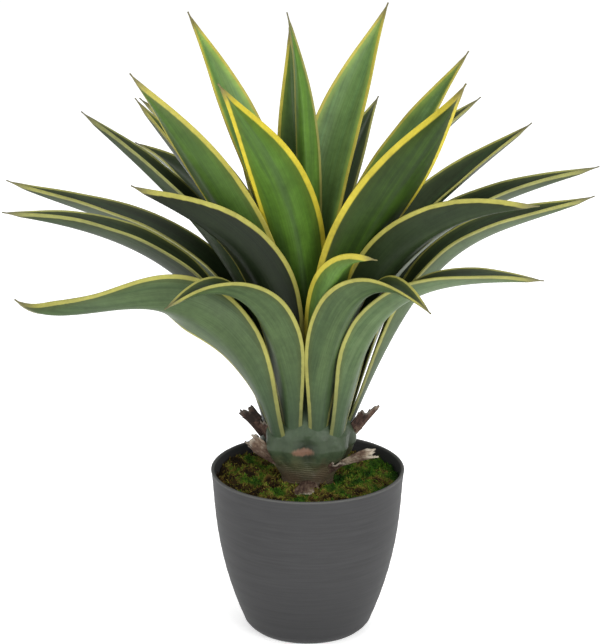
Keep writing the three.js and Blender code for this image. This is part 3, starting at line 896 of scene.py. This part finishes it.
def leaf_curve(tier, start, to, reach, height, rise, lift, fall, trail, aim):
    """Points and tangents along the leaf, as functions of the share of its length."""
    radius, root_height, _ = TIERS[tier]
    root = polar(start, radius, root_height)
    tip = polar(to, reach, height)
    ends = [root, root + heading(start, rise) * lift, tip - heading(aim, fall) * trail, tip]
    t = np.linspace(0, 1, LEAF_CURVE_STEPS + 1)[:, None]
    weights = [(1 - t) ** 3, 3 * t * (1 - t) ** 2, 3 * t * t * (1 - t), t**3]
    points = sum(w * p for w, p in zip(weights, ends))
    weights = [(1 - t) ** 2, 2 * t * (1 - t), t * t]
    slopes = sum(w * (q - p) for w, p, q in zip(weights, ends[:-1], ends[1:]))
    lengths = np.concatenate([[0], np.cumsum(np.linalg.norm(np.diff(points, axis=0), axis=1))])
    shares = lengths / lengths[-1]

    def place(s):
        return np.array([np.interp(s, shares, points[:, k]) for k in range(3)])

    def tangent(s):
        d = np.array([np.interp(s, shares, slopes[:, k]) for k in range(3)])
        return d / np.linalg.norm(d)

    return place, tangent, lengths[-1]


def leaf_width(s, width):
    if s < LEAF_WIDEST_AT:
        return mix(LEAF_ROOT_WIDTH, width, math.sin(s / LEAF_WIDEST_AT * math.pi / 2) ** 2)
    u = (s - LEAF_WIDEST_AT) / (1 - LEAF_WIDEST_AT)
    return max(width * (1 - u**LEAF_TAPER) ** LEAF_POINT, SPINE_WIDTH)


def leaf_section(half, slope, thickness, lift_edges):
    """The points of a section, once round it, as (side, up, share across, on the upper face)."""

    def middle(v):
        return half * math.cos(slope) * v, half * math.sin(slope) * trough(v) + lift_edges(v)

    def depth(v):
        return mix(thickness, min(LEAF_EDGE_THICKNESS, thickness), v * v) / 2

    across = [math.sin(math.pi / 2 * (-1 + 2 * i / LEAF_ACROSS)) for i in range(LEAF_ACROSS + 1)]
    ring = []
    for facing in (1, -1):
        for v in across[::facing]:
            x, y = middle(v)
            ring.append((x, y + facing * depth(v), v, (1 + facing) / 2))
        x, y = middle(facing)
        for k in range(1, LEAF_EDGE_STEPS + 1):
            a = facing * math.pi / 2 - math.pi * k / (LEAF_EDGE_STEPS + 1)
            ring.append((x + depth(1) * math.cos(a), y + depth(1) * math.sin(a), facing, 0.5))
    return ring


def leaf_mesh(number, row):
    """The points and faces of one leaf, and what its material reads at each point."""
    tier, start, to, reach, height, rise, lift, fall, trail, aim, face, width, roll = row
    place, tangent, length = leaf_curve(tier, start, to, reach, height, rise, lift, fall, trail, aim)
    turn = (face - start + 180) % 360 - 180
    channel = TIERS[tier][2]
    rng = random.Random(500 + number)
    seed = rng.uniform(0, 90)
    points = []
    marks = {"along": [], "across": [], "edge": [], "upper": []}
    for j in range(LEAF_RINGS):
        s = j / (LEAF_RINGS - 1)
        along = tangent(s)
        side = across_from(along, start + turn * smooth(s))
        lean = math.radians(roll * smooth(s / LEAF_ROLLED_FROM))
        side = side * math.cos(lean) + np.cross(along, side) * math.sin(lean)
        up = np.cross(along, side)
        half = leaf_width(s, width) / 2
        folded = LEAF_TIP_FOLD * smooth((s - LEAF_TIP_FOLD_FROM) / (1 - LEAF_TIP_FOLD_FROM))
        slope = math.radians(mix(LEAF_ROOT_CHANNEL, channel, smooth(s / LEAF_CHANNEL_FROM)) + folded)
        thickness = mix(LEAF_ROOT_THICKNESS, LEAF_MIDDLE_THICKNESS, smooth(s / LEAF_THIN_FROM))
        thickness = min(thickness, max(SPINE_WIDTH, 1.1 * half))
        wave = OUTER_EDGE_WAVE if tier < OUTER_TIERS else EDGE_WAVE
        wave *= smooth(s * 3) * smooth((1 - s) * 4)

        def lift_edges(v):
            ripple = noise.noise(Vector((s * length / EDGE_WAVE_LENGTH, 3.0 * np.sign(v), seed)))
            return wave * v * v * ripple

        for x, y, v, upper in leaf_section(half, slope, thickness, lift_edges):
            points.append(place(s) + side * x + up * y)
            marks["along"].append(s)
            marks["across"].append(v * half)
            marks["edge"].append((1 - abs(v)) * half)
            marks["upper"].append(upper)
    count = len(points)
    # A section runs the other way round from a turned ring, so its faces are turned over.
    faces = [(face[0], *face[:0:-1]) for face in ring_faces(LEAF_RINGS, count // LEAF_RINGS)]
    green, bright, left, right, back, front = LEAF_COLOURS_AND_PAINTED_LIGHT.get(number, PLAIN_COLOURS_AND_PAINTED_LIGHT)
    marks["band"] = [right if a > 0 else left for a in marks["across"]]
    marks["green"] = [green] * count
    marks["bright"] = [bright] * count
    # painted light and shade: back and front are the lightness painted on each face, carried by the tone
    # mark
    marks["tone"] = [mix(back, front, upper) for upper in marks["upper"]]
    marks["seed"] = [seed] * count
    return np.array(points) * MM, faces, marks


leaf_material, tree, shader = new_material("agave_leaf", {"Roughness": 0.42, "Specular IOR Level": 0.2})
names = ("along", "across", "edge", "upper", "band", "green", "bright", "tone", "seed")
read = {name: read_mark(tree, name) for name in names}
stretched = {"X": read["across"], "Y": times(tree, read["along"], 9.0), "Z": read["seed"]}
lengthwise = add_node(tree, "ShaderNodeCombineXYZ", stretched).outputs[0]
streak = noise_at(tree, lengthwise, 0.9, 4.0)
patch = noise_at(tree, lengthwise, 0.16, 3.0)
back = mixed(tree, read["green"], *LEAF_BACK)
front = mixed(tree, read["green"], *LEAF_FRONT)
body = mixed(tree, read["upper"], back, front)
body = mixed(tree, times(tree, eased(tree, patch, 0.42, 0.66), 0.5), body, LEAF_PATCH)
body = mixed(tree, 1.0, body, ramp(tree, streak, *STREAKS), "MULTIPLY")
wobble = times(tree, centred(tree, streak), 1.2)
inset = calc(tree, "DIVIDE", plus(tree, read["edge"], wobble), read["band"])
border = mixed(tree, read["green"], *LEAF_BORDER)
skin = mixed(tree, times(tree, eased(tree, inset, 3.4, 1.0), 0.65), body, border)
# painted light and shade: the tone mark multiplies the colour of each leaf
skin = mixed(tree, 1.0, skin, read["tone"], "MULTIPLY")
skin = mixed(tree, eased(tree, inset, 1.15, 0.75), skin, mixed(tree, read["bright"], *LEAF_BAND))
# painted shade: each leaf darkens towards its foot, where it lies deep among the others
painted_shade_low = eased(tree, read["along"], LEAF_BASE_PAINTED_SHADE_TO, 0.0)
skin = mixed(tree, times(tree, painted_shade_low, 0.66), skin, LEAF_BASE_PAINTED_SHADE)
tip = eased(tree, read["along"], LEAF_SPINE_FROM, 0.99)
skin = mixed(tree, times(tree, tip, 0.85), skin, LEAF_SPINE)
skin, grain = mottled(tree, skin, object_place(tree), 38.0, 1.1)
tree.links.new(skin, shader.inputs["Base Color"])
add_bump(tree, shader, plus(tree, streak, grain), 0.3, 0.4 * MM)

for number, row in enumerate(LEAVES, 1):
    points, faces, marks = leaf_mesh(number, row)
    leaf = add_piece(f"blade_{number:02d}", points, faces, leaf_material)
    for name, values in marks.items():
        set_attribute(leaf, name, values)
    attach(leaf, "root")
    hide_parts(f"leaf_{number:02d}")
